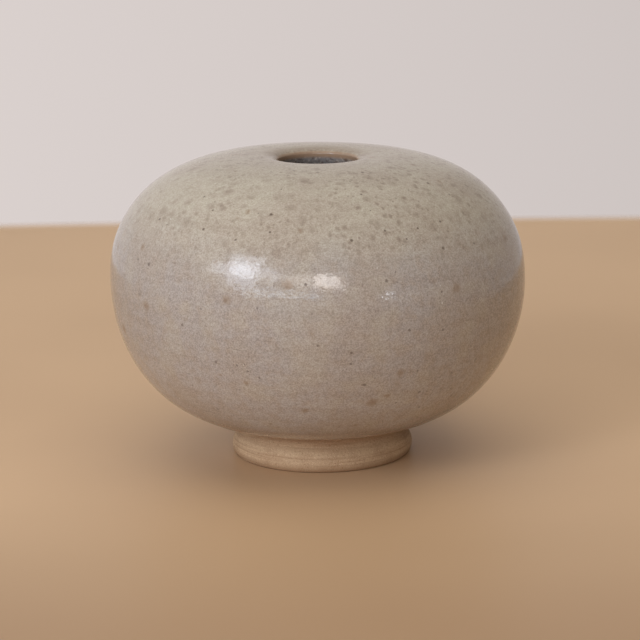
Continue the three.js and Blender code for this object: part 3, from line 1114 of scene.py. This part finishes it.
class GLOBE_VASE_OT_outer_glaze(VaseOperator, bpy.types.Operator):
    """Coat the outside with glaze, from the mouth's edge to a rolled end under the globe"""

    bl_idname = "globe_vase.outer_glaze"
    bl_label = "Outer glaze"

    def execute(self, context):
        shape, colours = self.choices(context)
        shown = Globe(shape, LIP_STEPS, WALL_STEPS)
        hidden = Globe(shape, HIDDEN_LIP_STEPS, HIDDEN_WALL_STEPS)
        half = (shape.outer_coat + shape.bead_depth) / 2
        roll_centre = Vector((shape.glaze_edge_radius, shown.edge_height + shape.outer_coat - half))
        roll = arc(roll_centre, (shape.glaze_roll, half), DOWNWARDS, UPWARDS, ROLL_STEPS)
        profile = chained(
            hidden.upper_outside(shape.outer_coat)[::-1],
            shown.upper_outside(0.0),
            shown.beaded(shown.lower_outside(0.0)),
            roll,
            hidden.lower_outside(shape.outer_coat)[::-1],
        )
        piece = turned_piece(
            "vase_outer_glaze",
            profile,
            outer_glaze_finish(shape, colours),
            segments=SHOWN_SEGMENTS,
            **globe_lean(shape),
            ring_depth=shape.ring_depth,
            calm_radius=shape.mouth_radius + LIP_CALM,
            edge_height=shape.glaze_edge_height,
            edge_waver=shape.edge_waver,
            edge_shift=edge_sideways(shape),
            edge_radius=shape.glaze_edge_radius,
            edge_slant=math.tan(shape.edge_slant),
        )
        placed(piece, "outer_glaze")
        return {"FINISHED"}


class GLOBE_VASE_OT_liner_glaze(VaseOperator, bpy.types.Operator):
    """Line the inside with glaze, over the rings left by throwing"""

    bl_idname = "globe_vase.liner_glaze"
    bl_label = "Liner glaze"

    def execute(self, context):
        shape, colours = self.choices(context)
        shown = Globe(shape, LIP_STEPS, WALL_STEPS)
        hidden = Globe(shape, HIDDEN_LIP_STEPS, HIDDEN_WALL_STEPS)
        profile = chained(
            hidden.lower_inside(shape.liner_coat)[::-1],
            hidden.upper_inside(shape.liner_coat)[::-1],
            shown.upper_inside(0.0),
            shown.lower_inside(0.0),
        )
        piece = turned_piece(
            "vase_liner_glaze",
            profile,
            liner_finish(shape, colours),
            segments=SHOWN_SEGMENTS,
            **globe_lean(shape),
            ring_depth=shape.inner_ring_depth,
            calm_radius=shape.mouth_radius + shape.lip_width,
        )
        placed(piece, "liner_glaze")
        return {"FINISHED"}


# Lamps: name, degrees right and up as the pot sees them, degrees wide and tall, brightness, tint, mirrored
LAMPS = (
    ("tall box", -41.5, 23.8, 17.0, 30.0, 4.3, (0.8, 0.87, 1.0), True),
    ("bright box", -41.5, 25.0, 12.0, 15.0, 4.2, (0.8, 0.87, 1.0), True),
    ("wide box", -42.5, 23.5, 39.0, 11.5, 3.8, (0.84, 0.9, 1.0), True),
    ("warm box", 6.5, 18.8, 14.0, 11.0, 7.8, (1.0, 0.94, 0.9), True),
    ("warm veil", -8.0, 18.5, 20.0, 10.0, 2.8, (1.0, 0.94, 0.9), True),
    ("low strip", -18.0, 7.2, 40.0, 1.8, 8.4, (0.72, 0.86, 1.0), True),
    ("small box", 38.6, 5.8, 4.2, 4.0, 10.2, (0.86, 0.92, 1.0), True),
    ("soft key", -4.0, 54.0, 60.0, 50.0, 0.26, (1.0, 0.96, 0.98), False),
    ("overhead", 0.0, 82.0, 60.0, 60.0, 1.04, (1.0, 0.97, 0.88), False),
    ("low front", -54.0, 16.0, 96.0, 22.0, 1.06, (0.93, 0.96, 1.0), False),
    ("soft back", -176.0, 38.0, 76.0, 40.0, 1.08, (0.95, 0.98, 1.0), False),
)
LAMP_DISTANCE = 2.4
FILL_TINT = (1.0, 0.91, 0.8)
SENSOR_WIDTH = 36

# How far to the left and right of straight ahead the backdrop goes on darkening
FALLOFF_REACH = 0.6

# Keeps the table apart from the tread that stands on it
TABLE_GAP = 0.05 * MM


class GLOBE_VASE_OT_stage(VaseOperator, bpy.types.Operator):
    """Set the table, the backdrop, the lamps and the camera"""

    bl_idname = "globe_vase.stage"
    bl_label = "Stage"

    def execute(self, context):
        shape, colours = self.choices(context)
        stage = context.scene.globe_vase_stage
        self.set_table(stage, colours)
        self.set_world(context.scene, stage, colours)
        middle = Vector((0, 0, shape.belly_height))
        for lamp in LAMPS:
            self.hang_lamp(middle, *lamp)
        self.set_camera(context.scene, stage, shape)
        context.scene.view_settings.view_transform = "Standard"
        return {"FINISHED"}

    @staticmethod
    def set_table(stage, colours):
        """A square table top."""
        reach = stage.table_reach
        corners = [(-reach, -reach), (reach, -reach), (reach, reach), (-reach, reach)]
        mesh = bpy.data.meshes.new("table")
        mesh.from_pydata([(*corner, -TABLE_GAP) for corner in corners], [], [(0, 1, 2, 3)])
        mesh.materials.append(table_finish(stage, colours))
        table = new_object("table", mesh)

    @staticmethod
    def set_world(scene, stage, colours):
        """Soft light from all sides. The camera and reflections see the backdrop."""
        world = bpy.data.worlds.new("studio")
        world.use_nodes = True
        world.node_tree.nodes.clear()
        bench = Bench(world.node_tree)
        rays = bench.node("ShaderNodeLightPath")
        seen = Wire(bench, rays.outputs["Is Camera Ray"])
        for name in ("Is Glossy Ray", "Is Transmission Ray"):
            seen = seen.largest(Wire(bench, rays.outputs[name]))
        direction = bench.out("ShaderNodeTexCoord", "Generated")
        right, _, up = bench.split(direction)
        side = right.ramp(-FALLOFF_REACH, FALLOFF_REACH) - 0.5
        backdrop_level = 1 - stage.side_falloff * side - stage.top_falloff * up.largest(0.0)
        strength = stage.fill_level + (backdrop_level - stage.fill_level) * seen
        tone = bench.mix(seen, FILL_TINT, colours.backdrop)
        light = bench.out("ShaderNodeBackground", "Background", None, {"Color": tone, "Strength": strength})
        bench.node("ShaderNodeOutputWorld", None, {"Surface": light})
        scene.world = world

    @staticmethod
    def hang_lamp(middle, name, right, up, wide, tall, brightness, tint, mirrored):
        """A soft lamp in a direction from the pot, hidden from the camera."""
        azimuth = math.radians(right)
        elevation = math.radians(up)
        level = math.cos(elevation)
        direction = Vector((math.sin(azimuth) * level, -math.cos(azimuth) * level, math.sin(elevation)))
        light = bpy.data.lights.new(name, "AREA")
        light.shape = "RECTANGLE"
        light.size = 2 * LAMP_DISTANCE * math.tan(math.radians(wide) / 2)
        light.size_y = 2 * LAMP_DISTANCE * math.tan(math.radians(tall) / 2)
        light.energy = brightness * math.pi * light.size * light.size_y
        light.color = tint
        lamp = new_object(name, light)
        lamp.location = middle + LAMP_DISTANCE * direction
        lamp.rotation_euler = direction.to_track_quat("Z", "Y").to_euler()
        lamp.visible_camera = False
        lamp.visible_glossy = mirrored

    @staticmethod
    def set_camera(scene, stage, shape):
        """A camera in front of the foot, at the photograph's viewing angle."""
        side = shape.foot_shift
        level = stage.view_distance * math.cos(stage.view_elevation)
        rise = stage.view_distance * math.sin(stage.view_elevation)
        eye = Vector((side, -level, stage.view_centre + rise))
        aim = Vector((side + stage.aim_side, 0, stage.aim_height))
        lens = bpy.data.cameras.new("camera")
        lens.sensor_width = SENSOR_WIDTH
        lens.sensor_fit = "HORIZONTAL"
        lens.lens = stage.focal_length
        camera = new_object("camera", lens)
        look = (aim - eye).to_track_quat("-Z", "Y") @ Quaternion((0, 0, 1), stage.view_roll)
        camera.location = eye
        camera.rotation_euler = look.to_euler()
        scene.camera = camera


class GLOBE_VASE_PT_panel(bpy.types.Panel):
    """Sizes, colours and pieces of the vase"""

    bl_idname = "GLOBE_VASE_PT_panel"
    bl_label = "Globe vase"
    bl_space_type = "VIEW_3D"
    bl_region_type = "UI"
    bl_category = "Globe vase"

    def draw(self, context):
        for group, kind in GROUPS.items():
            column = self.layout.column(align=True)
            for name in kind.__annotations__:
                column.prop(getattr(context.scene, group), name)
        for operator in OPERATORS:
            self.layout.operator(operator.bl_idname)


GROUPS = {
    "globe_vase_shape": GlobeVaseShape,
    "globe_vase_colours": GlobeVaseColours,
    "globe_vase_stage": GlobeVaseStage,
}
OPERATORS = (
    GLOBE_VASE_OT_lower_bowl,
    GLOBE_VASE_OT_upper_bowl,
    GLOBE_VASE_OT_foot_ring,
    GLOBE_VASE_OT_outer_glaze,
    GLOBE_VASE_OT_liner_glaze,
    GLOBE_VASE_OT_stage,
)
CLASSES = (*GROUPS.values(), *OPERATORS, GLOBE_VASE_PT_panel)


def register():
    """Makes the classes and the scene's settings known to Blender."""
    for item in CLASSES:
        bpy.utils.register_class(item)
    for group, kind in GROUPS.items():
        setattr(bpy.types.Scene, group, bpy.props.PointerProperty(type=kind))


def unregister():
    """Takes the settings and classes out again."""
    for group in GROUPS:
        delattr(bpy.types.Scene, group)
    for item in reversed(CLASSES):
        bpy.utils.unregister_class(item)


def main():
    """Builds the vase and its stage."""
    register()
    bpy.ops.globe_vase.lower_bowl()
    bpy.ops.globe_vase.upper_bowl()
    bpy.ops.globe_vase.foot_ring()
    bpy.ops.globe_vase.outer_glaze()
    bpy.ops.globe_vase.liner_glaze()
    bpy.ops.globe_vase.stage()


if __name__ == "__main__":
    main()
